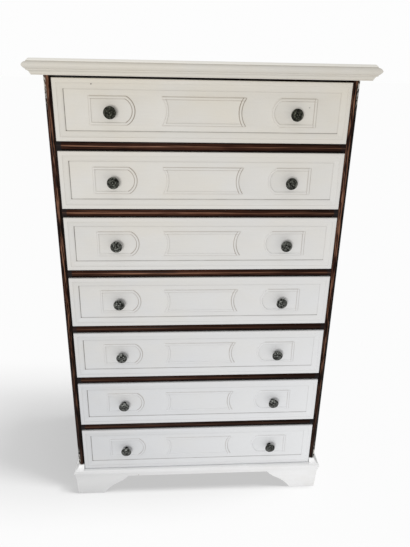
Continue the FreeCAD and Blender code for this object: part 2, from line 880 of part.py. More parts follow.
def make_drawers():
    """Seven equal drawers: each piece is made once and set at every drawer's level."""
    side = make_drawer_side()
    bottom = box("drawer_bottom_board",
                 (-half_inside - size["panel_tongue"], half_inside + size["panel_tongue"]),
                 (size["front_thickness"] - size["panel_tongue"], size["drawer_length"]),
                 (panel_low, panel_high))
    spread = size["knob_spacing"] / 2
    knob, nut = make_knob(), make_knob_nut()
    pieces = {
        "front": [make_drawer_front()],
        "sides": [side, mirror("drawer_side_mirror", side)],
        "back": [make_drawer_back()],
        "bottom": [bottom],
        "knobs": [group("knob_left", [knob], x=-spread), group("knob_right", [knob], x=spread)],
        "knob_nuts": [group("nut_left", [nut], x=-spread), group("nut_right", [nut], x=spread)],
    }
    for number in DRAWERS:
        for piece, members in pieces.items():
            name = f"drawer_{number}_{piece}"
            keep(group(name + "_placed", members, y=front, z=drawer_level(number)), name)


make_top_board()
make_side_panels()
make_posts()
make_rails()
make_runners()
make_drawer_stops()
make_back_and_bottom()
make_plinth_front()
make_plinth_sides()
make_post_blocks()
make_plinth_inside()
make_drawers()

doc.recompute()
for thing in doc.Objects:
    if "Invalid" in thing.State or "Error" in thing.State:
        raise RuntimeError(f"{thing.Label} was not computed: {thing.State}")
for piece in subparts:
    if piece.Shape.isNull() or not piece.Shape.isValid() or not piece.Shape.Solids:
        raise RuntimeError(f"{piece.Label} has no valid shape")

os.makedirs("parts", exist_ok=True)
for piece in subparts:
    piece.Shape.exportStep(f"parts/{piece.Label}.step")
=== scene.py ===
import math

import bpy
from mathutils import Matrix, Vector


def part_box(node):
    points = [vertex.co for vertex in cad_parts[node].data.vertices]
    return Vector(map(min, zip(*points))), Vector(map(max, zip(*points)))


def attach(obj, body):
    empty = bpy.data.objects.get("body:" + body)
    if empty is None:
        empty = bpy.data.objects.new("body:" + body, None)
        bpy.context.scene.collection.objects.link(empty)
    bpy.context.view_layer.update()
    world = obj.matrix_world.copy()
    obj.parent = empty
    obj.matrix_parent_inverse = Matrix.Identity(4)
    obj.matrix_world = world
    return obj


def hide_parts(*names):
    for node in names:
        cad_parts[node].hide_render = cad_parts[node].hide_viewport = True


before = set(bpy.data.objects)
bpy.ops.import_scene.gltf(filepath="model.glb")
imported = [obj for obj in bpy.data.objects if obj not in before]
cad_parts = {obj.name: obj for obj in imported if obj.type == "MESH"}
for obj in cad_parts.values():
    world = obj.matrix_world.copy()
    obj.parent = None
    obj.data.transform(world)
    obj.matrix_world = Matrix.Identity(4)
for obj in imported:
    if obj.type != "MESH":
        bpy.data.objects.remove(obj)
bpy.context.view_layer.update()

# Top board: a thick softwood board, moulded by plane along its front and both ends, primed and
# painted off-white. The paint has yellowed, under a warm painted light that grows upwards, shows
# brush strokes along the board and is darkened in the quirks with grime and painted shade. A pale
# band along the upper lip is a painted highlight. It is screwed to the case from below.

SAME_CORNER = 0.00002
FLAT_ANGLE = math.radians(1.0)
ARRIS_ANGLE = math.radians(24)
SMOOTH_ANGLE = math.radians(32)


def softened(node, width):
    """A piece with a node's own shape, its arrises rounded as sanding and paint leave them."""
    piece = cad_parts[node].copy()
    piece.data = piece.data.copy()
    piece.name = node + "_finished"
    piece.parent = None
    piece.matrix_world = Matrix.Identity(4)
    bpy.context.collection.objects.link(piece)
    bpy.ops.object.select_all(action="DESELECT")
    piece.select_set(True)
    bpy.context.view_layer.objects.active = piece
    bpy.ops.object.mode_set(mode="EDIT")
    bpy.ops.mesh.select_all(action="SELECT")
    bpy.ops.mesh.remove_doubles(threshold=SAME_CORNER)
    bpy.ops.mesh.customdata_custom_splitnormals_clear()
    bpy.ops.mesh.dissolve_limited(angle_limit=FLAT_ANGLE)
    bpy.ops.object.mode_set(mode="OBJECT")
    rounding = piece.modifiers.new("rounding", "BEVEL")
    rounding.width = width
    rounding.segments = 2
    rounding.limit_method = "ANGLE"
    rounding.angle_limit = ARRIS_ANGLE
    bpy.ops.object.modifier_apply(modifier="rounding")
    bpy.ops.object.shade_smooth_by_angle(angle=SMOOTH_ANGLE)
    return piece


def hand_over(piece, body, material, node):
    """Give a finished piece its material and its body, in place of the node it stands for."""
    piece.data.materials.clear()
    piece.data.materials.append(material)
    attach(piece, body)
    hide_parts(node)


def wire(tree, kind, inputs, **settings):
    """Add a shader node; an input is a value, or the output that feeds it."""
    node = tree.nodes.new(kind)
    for name, value in settings.items():
        setattr(node, name, value)
    for name, value in inputs.items():
        if isinstance(value, bpy.types.NodeSocket):
            tree.links.new(value, node.inputs[name])
        else:
            node.inputs[name].default_value = value
    return node


def maths(tree, operation, first, *others):
    """Output of one operation worked through a row of values, from the first to the last."""
    for other in others:
        first = wire(tree, "ShaderNodeMath", {0: first, 1: other}, operation=operation).outputs[0]
    return first


def magnitude(tree, value):
    return wire(tree, "ShaderNodeMath", {0: value}, operation="ABSOLUTE").outputs[0]


def along_axes(tree, place):
    """Outputs X, Y and Z of a place."""
    return wire(tree, "ShaderNodeSeparateXYZ", {"Vector": place}).outputs


def distance_from(tree, place, point):
    return wire(tree, "ShaderNodeVectorMath", {0: place, 1: point},
                operation="DISTANCE").outputs["Value"]


def blend_colours(tree, amount, under, over):
    """Output of a colour mix, from under at 0 to over at 1."""
    return wire(tree, "ShaderNodeMix", {0: amount, 6: under, 7: over}, data_type="RGBA").outputs[2]


def spread(tree, value, low, high, to_low=0.0, to_high=1.0):
    """Output that stretches value from between low and high to between the other two."""
    return wire(tree, "ShaderNodeMapRange",
                {"Value": value, "From Min": low, "From Max": high,
                 "To Min": to_low, "To Max": to_high}).outputs[0]


def stretched_noise(tree, place, stretch, size, detail=3.0, roughness=0.5, distortion=0.0):
    """Noise with its own stretch along each axis; size is that of a blotch, in metres."""
    drawn = wire(tree, "ShaderNodeVectorMath", {0: place, 1: stretch}, operation="MULTIPLY")
    return wire(tree, "ShaderNodeTexNoise",
                {"Vector": drawn.outputs[0], "Scale": 1.0 / size, "Detail": detail,
                 "Roughness": roughness, "Distortion": distortion}).outputs["Fac"]


EVEN = (1, 1, 1)


def new_group(name, inputs, outputs):
    """An empty shader group; its sockets are pairs of a name and a kind of value."""
    group = bpy.data.node_groups.new(name, "ShaderNodeTree")
    for in_out, sockets in (("INPUT", inputs), ("OUTPUT", outputs)):
        for title, kind in sockets:
            group.interface.new_socket(title, in_out=in_out, socket_type="NodeSocket" + kind)
    return group, group.nodes.new("NodeGroupInput").outputs, group.nodes.new("NodeGroupOutput")


def place_group(tree, group, values):
    """Outputs of a group placed in a material, with its own values."""
    return wire(tree, "ShaderNodeGroup", values, node_tree=group).outputs


def build_edge_group():
    """Masks of the arrises, where a finish wears, and of the corners, for grime and painted shade.
    """
    group, given, result = new_group(
        "arrises_and_corners", [("Position", "Vector"), ("Reach", "Float")],
        [("Worn", "Float"), ("Dirt and shade", "Float")])
    outside = wire(group, "ShaderNodeAmbientOcclusion", {"Distance": given["Reach"]},
                   only_local=True, inside=True, samples=8)
    inside = wire(group, "ShaderNodeAmbientOcclusion", {"Distance": given["Reach"]},
                  only_local=True, samples=8)
    patches = stretched_noise(group, given["Position"], EVEN, 0.03, 4.0, 0.65)
    arris = spread(group, outside.outputs["AO"], 0.62, 0.30)
    worn = maths(group, "MULTIPLY", arris, spread(group, patches, 0.42, 0.66))
    # occlusion in the corners darkens them: grime, and painted shade
    corner = spread(group, inside.outputs["AO"], 0.93, 0.66)
    corner_dirt_and_shade = maths(group, "MULTIPLY", corner, spread(group, patches, 0.3, 0.7, 0.45, 1.0))
    group.links.new(worn, result.inputs["Worn"])
    group.links.new(corner_dirt_and_shade, result.inputs["Dirt and shade"])
    return group


edge_group = build_edge_group()


def build_brushed_group():
    """Old brushed paint: strokes, a cloudy yellowed tone, and warm painted light growing upwards.
    """
    group, given, result = new_group(
        "brushed_paint",
        [("Position", "Vector"), ("Stroke", "Vector"), ("Clean", "Color"),
         ("Yellowed and top lit", "Color")],
        [("Colour", "Color"), ("Height", "Float"), ("Roughness", "Float")])
    place = given["Position"]
    strokes = stretched_noise(group, place, given["Stroke"], 1 / 260, 4.0, 0.6)
    clouds = stretched_noise(group, place, (1, 1, 1.6), 0.16, 3.0, 0.6)
    fine = stretched_noise(group, place, EVEN, 0.004, 2.0, 0.5)
    # the warm tint that grows with the height is painted light; its cloudy part is the paint's own
    # age
    yellow_tone_and_top_light = maths(group, "ADD",
                      spread(group, along_axes(group, place)["Z"], 0.3, 1.3, 0.0, 0.85),
                      spread(group, clouds, 0.36, 0.68, -0.12, 0.15))
    tone = blend_colours(group, yellow_tone_and_top_light, given["Clean"], given["Yellowed and top lit"])
    shade = maths(group, "ADD", spread(group, strokes, 0.3, 0.7, 0.985, 1.01),
                  spread(group, fine, 0.3, 0.7, -0.008, 0.008))
    toned = wire(group, "ShaderNodeVectorMath", {0: tone, "Scale": shade}, operation="SCALE")
    relief = maths(group, "ADD", maths(group, "MULTIPLY", strokes, 0.7),
                   maths(group, "MULTIPLY", fine, 0.3))
    group.links.new(toned.outputs[0], result.inputs["Colour"])
    group.links.new(relief, result.inputs["Height"])
    group.links.new(spread(group, clouds, 0.3, 0.7, 0.50, 0.64), result.inputs["Roughness"])
    return group


brushed_group = build_brushed_group()


def new_material(name):
    """A material with its shader wired to the output, and the output of Object coordinates."""
    material = bpy.data.materials.new(name)
    material.use_nodes = True
    tree = material.node_tree
    tree.nodes.clear()
    shader = wire(tree, "ShaderNodeBsdfPrincipled", {})
    wire(tree, "ShaderNodeOutputMaterial", {"Surface": shader.outputs[0]})
    return material, tree, shader, wire(tree, "ShaderNodeTexCoord", {}).outputs["Object"]


def marked(tree, shader, colour, marks):
    """Lay marks, pairs of a mask and a colour, over a colour, and give the shader the result."""
    for mask, shade in marks:
        colour = blend_colours(tree, mask, colour, shade)
    tree.links.new(colour, shader.inputs["Base Color"])
    return colour


def bump(tree, shader, height, distance, strength):
    wired = wire(tree, "ShaderNodeBump",
                 {"Height": height, "Distance": distance, "Strength": strength})
    tree.links.new(wired.outputs[0], shader.inputs["Normal"])


CLEAN_PAINT = (0.610, 0.617, 0.628, 1)
YELLOWED_AND_TOP_LIT_PAINT = (0.655, 0.616, 0.540, 1)
LIP_HIGHLIGHT_PAINT = (0.85, 0.83, 0.77, 1)
PAINT_DIRT_AND_SHADE = (0.17, 0.13, 0.085, 1)
PRIMER = (0.78, 0.77, 0.74, 1)
ALONG = (0.06, 1.0, 1.0)


def painted(name, stroke, dirt_and_shade=0.5, clean=CLEAN_PAINT):
    """Old off-white paint, with grime and painted shade in its corners, worn to primer on its
    arrises.
    """
    material, tree, shader, place = new_material(name)
    brushed = place_group(tree, brushed_group, {"Position": place, "Stroke": stroke,
                                                "Clean": clean, "Yellowed and top lit": YELLOWED_AND_TOP_LIT_PAINT})
    edges = place_group(tree, edge_group, {"Position": place, "Reach": 0.003})
    # the corners are darkened for grime and as painted shade; the arrises are worn to primer
    colour = marked(tree, shader, brushed["Colour"],
                    [(maths(tree, "MULTIPLY", edges["Dirt and shade"], dirt_and_shade), PAINT_DIRT_AND_SHADE),
                     (maths(tree, "MULTIPLY", edges["Worn"], 0.3), PRIMER)])
    tree.links.new(brushed["Roughness"], shader.inputs["Roughness"])
    shader.inputs["Specular IOR Level"].default_value = 0.35
    bump(tree, shader, brushed["Height"], 0.0004, 0.3)
    return material, tree, shader, place, colour


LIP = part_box("top_board")[1][2] - 0.0066
PAINTED_ROUNDING = 0.0010
paint_top, tree, shader, place, colour = painted("white_paint_top", ALONG)
# a pale band along the upper lip is a painted highlight
lip_highlight = spread(tree, along_axes(tree, place)["Z"], LIP - 0.0008, LIP + 0.0008, 0.0, 0.8)
marked(tree, shader, colour, [(lip_highlight, LIP_HIGHLIGHT_PAINT)])
hand_over(softened("top_board", PAINTED_ROUNDING), "case", paint_top, "top_board")

# Plinth: three moulded boards, mitred at the corners and sawn to bracket feet, with a small
# coved block under each post. Softwood, painted like the top but hardly yellowed, with painted
# light on its upper faces and painted shade towards the left. The apron is chipped once.

PLINTH_PAINT = (0.84, 0.84, 0.84, 1)
PLINTH_SHADED_LEFT = (0.70, 0.70, 0.70, 1)
PLINTH_LIT_TOP = (0.93, 0.93, 0.93, 1)
CASE_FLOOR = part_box("plinth_front")[1][2]
APRON_CHIP = (-0.2016, -0.2055, 0.0775)


def chipped(tree, shader, place, colour, centre, radius, shade):
    """Base colour with one small chip in the paint at a place; hands the new colour back."""
    fray = spread(tree, stretched_noise(tree, place, EVEN, 0.002), 0.3, 0.7,
                  radius * -0.5, radius * 0.5)
    ragged = maths(tree, "ADD", distance_from(tree, place, centre), fray)
    return marked(tree, shader, colour,
                  [(spread(tree, ragged, radius * 0.7, radius * 1.2, 1.0, 0.0), shade)])


paint_plinth, tree, shader, place, colour = painted("white_paint_plinth", ALONG, dirt_and_shade=0.2,
                                                    clean=PLINTH_PAINT)
x, _, z = along_axes(tree, place)
# painted light on the plinth's upper faces, and painted shade growing towards the left
upper = spread(tree, z, CASE_FLOOR - 0.0020, CASE_FLOOR - 0.0003, 0.0, 0.9)
colour = marked(tree, shader, colour, [(spread(tree, x, 0.36, -0.38), PLINTH_SHADED_LEFT),
                                       (upper, PLINTH_LIT_TOP)])
chipped(tree, shader, place, colour, centre=APRON_CHIP, radius=0.0022,
        shade=(0.30, 0.28, 0.25, 1))
for node in ("plinth_front", "plinth_left", "plinth_right", "post_blocks"):
    hand_over(softened(node, PAINTED_ROUNDING), "case", paint_plinth, node)

# Side panels, posts and rails: pine with a dark red-brown stain under varnish. Posts and rails
# are beaded with a scratch stock; the stain has rubbed thin along the beads and gathered in the
# quirks. The beads carry painted highlights; the quirks and gaps, and the rails towards the
# right, carry painted shade. The white paint has left flecks on the outer arrises of the posts.

STAIN_DARK = (0.007, 0.0024, 0.0013, 1)
STAIN_LIGHT = (0.060, 0.020, 0.011, 1)
STAIN_THIN_AND_HIGHLIGHT = (0.30, 0.150, 0.090, 1)
BLACK_STAIN_AND_SHADE = (0.003, 0.0016, 0.0011, 1)
RAIL_END_SHADE = (0.013, 0.012, 0.013, 1)
PAINT_FLECK = (0.55, 0.53, 0.48, 1)
UPRIGHT = (1.0, 1.0, 0.06)


def band(tree, value, middle, half_width, soft):
    """Output of a mask that is 1 within half_width of middle and fades out over soft."""
    away = magnitude(tree, maths(tree, "SUBTRACT", value, middle))
    return spread(tree, away, half_width, half_width + soft, 1.0, 0.0)


def build_grain_group():
    """Wood grain: streaks and pores along the grain, and broad lighter and darker bands."""
    group, given, result = new_group(
        "wood_grain",
        [("Position", "Vector"), ("Grain", "Vector"), ("Dark", "Color"), ("Light", "Color")],
        [("Colour", "Color"), ("Height", "Float"), ("Roughness", "Float")])
    place, grain = given["Position"], given["Grain"]
    streaks = stretched_noise(group, place, grain, 1 / 220, 5.0, 0.62)
    bands = stretched_noise(group, place, grain, 1 / 30, 2.0, distortion=0.6)
    pores = stretched_noise(group, place, grain, 1 / 900, 2.0)
    mixed = maths(group, "ADD",
                  maths(group, "MULTIPLY", spread(group, streaks, 0.36, 0.66), 0.6),
                  maths(group, "MULTIPLY", spread(group, bands, 0.34, 0.66), 0.4))
    colour = blend_colours(group, mixed, given["Dark"], given["Light"])
    group.links.new(colour, result.inputs["Colour"])
    group.links.new(maths(group, "ADD", streaks, maths(group, "MULTIPLY", pores, 0.5)),
                    result.inputs["Height"])
    group.links.new(spread(group, streaks, 0.3, 0.7, 0.26, 0.42), result.inputs["Roughness"])
    return group


grain_group = build_grain_group()


def stained(name, grain):
    """Varnished dark stain, blacker low down, painted shade in corners; hands back wires for
    marks.
    """
    material, tree, shader, place = new_material(name)
    wood = place_group(tree, grain_group, {"Position": place, "Grain": grain,
                                           "Dark": STAIN_DARK, "Light": STAIN_LIGHT})
    edges = place_group(tree, edge_group, {"Position": place, "Reach": 0.006})
    blacker = spread(tree, along_axes(tree, place)["Z"], 0.72, 0.62, 0.0, 0.55)
    # black stain low down; in the corners, grime and painted shade
    colour = marked(tree, shader, wood["Colour"],
                    [(blacker, BLACK_STAIN_AND_SHADE),
                     (maths(tree, "MULTIPLY", edges["Worn"], 0.5), STAIN_THIN_AND_HIGHLIGHT),
                     (maths(tree, "MULTIPLY", edges["Dirt and shade"], 0.9), BLACK_STAIN_AND_SHADE)])
    tree.links.new(wood["Roughness"], shader.inputs["Roughness"])
    shader.inputs["Specular IOR Level"].default_value = 0.04
    bump(tree, shader, wood["Height"], 0.0003, 0.4)
    return material, tree, shader, place, colour


stain_panels = stained("dark_stain_panels", UPRIGHT)[0]
for node in ("side_left", "side_right"):
    hand_over(softened(node, 0.0008), "case", stain_panels, node)

BEADED_ROUNDING = 0.0006
POST_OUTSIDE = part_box("post_right")[1][0]
POST_BEAD = POST_OUTSIDE - 0.0100


def post_marks():
    """Rubbed streaks and painted highlight on beads, painted shade along one side, white flecks at
    ends.
    """
    material, tree, shader, place, colour = stained("dark_stain_posts", UPRIGHT)
    x, _, z = along_axes(tree, place)
    across = magnitude(tree, x)
    streaks = stretched_noise(tree, place, (1, 1, 0.04), 0.0026, 3.0, 0.6)
    off_bead = magnitude(tree, maths(tree, "SUBTRACT", across, POST_BEAD))
    # along the bead the stain is rubbed thin in streaks, which also carry a painted highlight,
    # less low down
    rubbed = maths(tree, "MULTIPLY", spread(tree, off_bead, 0.0035, 0.0075, 0.62, 0.0),
                   spread(tree, streaks, 0.51, 0.57), spread(tree, z, 0.25, 0.75, 0.15, 1.0))
    furrows = spread(tree, streaks, 0.49, 0.44, 0.0, 0.85)
    # painted shade along the inner side of the left post and the outer side of the right post
    left_flank = spread(tree, x, 0.0120 - POST_OUTSIDE, 0.0132 - POST_OUTSIDE, 0.0, 0.85)
    right_flank = spread(tree, x, POST_OUTSIDE - 0.0070, POST_OUTSIDE - 0.0055)
    flanks = wire(tree, "ShaderNodeMix",
                  {0: spread(tree, x, -0.1, 0.1), 2: left_flank, 3: right_flank}).outputs[0]
    ends = maths(tree, "ADD", spread(tree, z, 1.25, 1.31), spread(tree, z, 0.19, 0.14))
    arris = spread(tree, across, POST_OUTSIDE - 0.0060, POST_OUTSIDE - 0.0040)
    patches = stretched_noise(tree, place, (1, 1, 0.5), 0.004, 3.0, 0.6)
    flecks = maths(tree, "MULTIPLY", ends, arris, spread(tree, patches, 0.46, 0.54))
    marked(tree, shader, colour, [(rubbed, STAIN_THIN_AND_HIGHLIGHT), (furrows, BLACK_STAIN_AND_SHADE),
                                  (flanks, BLACK_STAIN_AND_SHADE), (flecks, PAINT_FLECK)])
    return material


stain_posts = post_marks()
for node in ("post_left", "post_right"):
    hand_over(softened(node, BEADED_ROUNDING), "case", stain_posts, node)

DRAWER_PITCH = (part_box("drawer_1_front")[0][2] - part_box("drawer_7_front")[0][2]) / 6
RAIL_HEIGHT = 0.0222
RAIL_BEAD = 0.0120
RAIL_CREST = 0.0122
RAIL_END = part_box("front_rails")[1][0]


def rail_marks():
    """Rubbed bead with painted highlight; painted shade in the quirks, towards the right and at
    the ends.
    """
    material, tree, shader, place, colour = stained("dark_stain_rails", ALONG)
    x, _, z = along_axes(tree, place)
    in_rail = maths(tree, "MODULO", maths(tree, "SUBTRACT", z, CASE_FLOOR - RAIL_HEIGHT),
                    DRAWER_PITCH)
    streaks = stretched_noise(tree, place, (0.02, 1, 1), 0.0026, 2.0, 0.5)
    # the bead's rubbed streaks carry a painted highlight, stronger on the upper rails and towards
    # the left
    crest = maths(tree, "MULTIPLY", band(tree, in_rail, RAIL_CREST, 0.0008, 0.0010),
                  spread(tree, streaks, 0.40, 0.56, 0.1, 0.85))
    bead = maths(tree, "MULTIPLY", band(tree, in_rail, RAIL_BEAD, 0.0050, 0.0020),
                 spread(tree, streaks, 0.56, 0.64, 0.0, 0.22))
    rubbed = maths(tree, "MULTIPLY", maths(tree, "MAXIMUM", crest, bead),
                   spread(tree, z, 0.66, 0.74, 0.28, 1.0), spread(tree, x, 0.25, -0.05, 0.45, 1.0))
    # painted shade in the quirks below and above each rail
    below = maths(tree, "MULTIPLY", band(tree, in_rail, 0.0, 0.0036, 0.0016), 0.9)
    above = maths(tree, "MULTIPLY", band(tree, in_rail, RAIL_HEIGHT, 0.0012, 0.0012), 0.8)
    patches = stretched_noise(tree, place, EVEN, 0.2, 1.0)
    # painted shade at the ends of the rails, beside the posts
    ends = maths(tree, "MULTIPLY",
                 spread(tree, magnitude(tree, x), RAIL_END - 0.0130, RAIL_END - 0.0110),
                 spread(tree, patches, 0.35, 0.55, 0.2, 0.9))
    # painted shade that darkens the rails towards the right
    marked(tree, shader, colour, [(spread(tree, x, 0.0, 0.25, 0.0, 0.45), BLACK_STAIN_AND_SHADE),
                                  (rubbed, STAIN_THIN_AND_HIGHLIGHT), (below, BLACK_STAIN_AND_SHADE),
                                  (above, BLACK_STAIN_AND_SHADE), (ends, RAIL_END_SHADE)])
    return material


hand_over(softened("front_rails", BEADED_ROUNDING), "case", rail_marks(),
          "front_rails")


def dress(node, material):
    """Give a carried-over node its material."""
    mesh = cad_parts[node].data
    mesh.materials.clear()
    mesh.materials.append(material)


# the top rail sits in the gap under the top board and is stained nearly black, as painted shade
top_rail_painted_shade, tree, shader, _, colour = stained("top_rail_stain_and_painted_shade", ALONG)
marked(tree, shader, colour, [(0.9, BLACK_STAIN_AND_SHADE)])
dress("top_rail", top_rail_painted_shade)

# Inside of the case: pine boards, planed but never finished, gone honey brown, with knots, and
# dust with painted shade in the corners. The bottom board's front edge got the same white paint
# as the plinth.

PINE_DARK = (0.34, 0.19, 0.085, 1)
PINE_LIGHT = (0.56, 0.36, 0.19, 1)
PINE_KNOT = (0.13, 0.055, 0.022, 1)
PINE_DUST_AND_SHADE = (0.11, 0.065, 0.035, 1)
KNOT_STRETCH = 0.45
DEEP = (1.0, 0.06, 1.0)


def bare(name, grain):
    """Bare pine with the grain along one axis, knots, and dust with painted shade in the corners.
    """
    material, tree, shader, place = new_material(name)
    wood = place_group(tree, grain_group, {"Position": place, "Grain": grain,
                                           "Dark": PINE_DARK, "Light": PINE_LIGHT})
    drawn = wire(tree, "ShaderNodeVectorMath",
                 {0: place, 1: [1.0 if part == 1.0 else KNOT_STRETCH for part in grain]},
                 operation="MULTIPLY").outputs[0]
    knots = wire(tree, "ShaderNodeTexVoronoi", {"Vector": drawn, "Scale": 6.0}
                 ).outputs["Distance"]
    edges = place_group(tree, edge_group, {"Position": place, "Reach": 0.015})
    # knots, and dust with painted shade in the corners
    colour = marked(tree, shader, wood["Colour"],
                    [(spread(tree, knots, 0.030, 0.055, 0.85, 0.0), PINE_KNOT),
                     (maths(tree, "MULTIPLY", edges["Dirt and shade"], 0.45), PINE_DUST_AND_SHADE)])
    tree.links.new(spread(tree, knots, 0.03, 0.1, 0.45, 0.65), shader.inputs["Roughness"])
    shader.inputs["Specular IOR Level"].default_value = 0.3
    bump(tree, shader, wood["Height"], 0.0003, 0.5)
    return material, tree, shader, place, colour


bare_along = bare("bare_pine_along", ALONG)[0]
bare_deep = bare("bare_pine_deep", DEEP)[0]
bare_upright = bare("bare_pine_upright", UPRIGHT)[0]
for node, material in (("plinth_back", bare_along), ("drawer_stops", bare_along),
                       ("runners_left", bare_deep), ("runners_right", bare_deep),
                       ("back_panel", bare_upright), ("corner_blocks", bare_upright)):
    dress(node, material)

BRUSHED_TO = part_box("bottom_board")[0][1] + 0.030
bare_bottom, tree, shader, place, colour = bare("bare_pine_bottom", ALONG)
paint_edge = spread(tree, along_axes(tree, place)["Y"], BRUSHED_TO + 0.001, BRUSHED_TO - 0.001)
marked(tree, shader, colour, [(paint_edge, CLEAN_PAINT)])
dress("bottom_board", bare_bottom)

# Drawers: a front worked from one board and painted, with bare pine sides dovetailed into it,
# a pine back and a thin bottom slid into grooves. Only the face and edges of a front are
# painted. A hairline has opened where the border meets the field; it is darkened most on the
# left and below, partly as painted shade.

DRAWERS = range(1, 8)
front_low, front_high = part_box("drawer_7_front")
BORDER_WIDTH = 0.0265
FIELD_FACE = front_low[1] + 0.0070
FIELD_HALF_LENGTH = front_high[0] - BORDER_WIDTH
FIELD_HALF_HEIGHT = (front_high[2] - front_low[2]) / 2 - BORDER_WIDTH
FIELD_MIDDLE = (front_high[2] + front_low[2]) / 2 - CASE_FLOOR

# bead outlines on the field: the right D's square end, the reach of the level lines of a D and
# of the spool, and for each arc its centre, its inner radius and the part of the front it spans
BEAD_WIDTH = 0.0075
OUTLINE_HALF_HEIGHT = 0.0360
DEE_END = 0.2950
DEE_MIDDLE, DEE_REACH = 0.245, 0.044
SPOOL_REACH = 0.106
DEE_ARC = (-0.21745, 0.03295, (-0.200, -0.170))
SPOOL_ARC = (0.158, 0.0600, (0.085, 0.108))
LINE_FADE = 0.004

BEAD_DIRT_AND_SHADE = (0.24, 0.19, 0.14, 1)
CRACK_AND_SHADE = (0.045, 0.030, 0.018, 1)
LOWER_RIGHT_LIT_PAINT = (0.745, 0.750, 0.758, 1)
CHIPS = (((-0.2841, -0.1935, 1.3171), 0.0017, (0.10, 0.09, 0.08, 1)),
         ((0.2748, -0.188, 1.2671), 0.0018, (0.36, 0.35, 0.32, 1)))


def quirk(tree, distance, at):
    """Grime and painted shade in the quirk at one distance."""
    return band(tree, distance, at, 0.0004, 0.0008)


def bead_quirks(tree, distance, at):
    """Grime and painted shade in the quirks on both sides of a bead, its near side at one
    distance.
    """
    return maths(tree, "MAXIMUM", quirk(tree, distance, at),
                 quirk(tree, distance, at + BEAD_WIDTH))


def arc_quirks(tree, x, rise, centre, radius, limits):
    """The same along an arc, between two limits across the front."""
    off_centre = wire(tree, "ShaderNodeCombineXYZ",
                      {"X": maths(tree, "SUBTRACT", x, centre), "Y": rise}).outputs[0]
    distance = wire(tree, "ShaderNodeVectorMath", {0: off_centre},
                    operation="LENGTH").outputs["Value"]
    within = band(tree, x, sum(limits) / 2, (limits[1] - limits[0]) / 2, LINE_FADE)
    return maths(tree, "MULTIPLY", bead_quirks(tree, distance, radius), within)


def beads_dirt_and_shade(tree, x, rise):
    """Grime and painted shade beside the beads: most at their right ends, less above, least below.
    """
    lifted = magnitude(tree, rise)
    inside = spread(tree, lifted, OUTLINE_HALF_HEIGHT - 0.001, OUTLINE_HALF_HEIGHT + 0.001,
                    1.0, 0.0)
    arcs = maths(tree, "MAXIMUM", arc_quirks(tree, x, rise, *DEE_ARC),
                 arc_quirks(tree, x, rise, *SPOOL_ARC))
    upright = maths(tree, "MULTIPLY", bead_quirks(tree, x, DEE_END - BEAD_WIDTH), 0.5)
    ends = maths(tree, "MULTIPLY", maths(tree, "MAXIMUM", arcs, upright), inside)
    across = magnitude(tree, x)
    figures = maths(tree, "MAXIMUM", band(tree, across, 0.0, SPOOL_REACH, LINE_FADE),
                    band(tree, across, DEE_MIDDLE, DEE_REACH, LINE_FADE))
    inner = maths(tree, "MULTIPLY", quirk(tree, lifted, OUTLINE_HALF_HEIGHT - BEAD_WIDTH),
                  spread(tree, rise, -0.02, 0.02, 0.0, 0.42))
    outer = maths(tree, "MULTIPLY", quirk(tree, lifted, OUTLINE_HALF_HEIGHT),
                  spread(tree, rise, -0.02, 0.02, 0.30, 0.50))
    level_lines = maths(tree, "MULTIPLY", maths(tree, "MAXIMUM", inner, outer), figures)
    return maths(tree, "MAXIMUM", ends, level_lines)


def crack_and_shade_line(tree, x, rise):
    """Crack round the field, with painted shade: faint above and right, darker below, darkest at
    left.
    """
    from_side = maths(tree, "SUBTRACT", magnitude(tree, x), FIELD_HALF_LENGTH)
    from_edge = maths(tree, "SUBTRACT", magnitude(tree, rise), FIELD_HALF_HEIGHT)
    left = spread(tree, x, 0.0025 - FIELD_HALF_LENGTH, 0.0005 - FIELD_HALF_LENGTH, 0.0, 0.72)
    lower = spread(tree, rise, 0.0020 - FIELD_HALF_HEIGHT, 0.0010 - FIELD_HALF_HEIGHT, 0.0, 0.42)
    outside = maths(tree, "MAXIMUM", from_side, from_edge)
    return maths(tree, "MULTIPLY", band(tree, outside, 0.0, 0.0006, 0.0005),
                 maths(tree, "ADD", left, lower, 0.16))


def front_marks():
    """Paint of the fronts, with painted light towards the lower right, and bare wood at their
    back.
    """
    material, tree, shader, place, colour = painted("white_paint_fronts", ALONG, dirt_and_shade=0.12)
    x, y, z = along_axes(tree, place)
    level = maths(tree, "MODULO", maths(tree, "SUBTRACT", z, CASE_FLOOR), DRAWER_PITCH)
    rise = maths(tree, "SUBTRACT", level, FIELD_MIDDLE)
    broken = spread(tree, stretched_noise(tree, place, EVEN, 0.05, 3.0), 0.3, 0.6, 0.6, 1.0)
    # painted light: the fronts grow paler towards the lower right
    lit_lower_right = maths(tree, "MULTIPLY", spread(tree, x, -0.40, 0.40), spread(tree, z, 1.30, 0.20))
    # grime and painted shade in the quirks beside the beads, less on the lower drawers
    bead_lines_dirt_and_shade = maths(tree, "MULTIPLY", beads_dirt_and_shade(tree, x, rise), broken,
                   spread(tree, z, 0.25, 1.25, 0.50, 1.0))
    # the hairline is darkened most at the left and below, partly as painted shade
    crack_with_shade = maths(tree, "MULTIPLY", crack_and_shade_line(tree, x, rise), broken)
    behind = spread(tree, y, front_high[1] - 0.0015, front_high[1] - 0.0005)
    wood = place_group(tree, grain_group, {"Position": place, "Grain": ALONG,
                                           "Dark": PINE_DARK, "Light": PINE_LIGHT})
    colour = marked(tree, shader, colour, [(lit_lower_right, LOWER_RIGHT_LIT_PAINT), (bead_lines_dirt_and_shade, BEAD_DIRT_AND_SHADE),
                                           (crack_with_shade, CRACK_AND_SHADE), (behind, wood["Colour"])])
    for centre, radius, shade in CHIPS:
        colour = chipped(tree, shader, place, colour, centre, radius, shade)
    return material


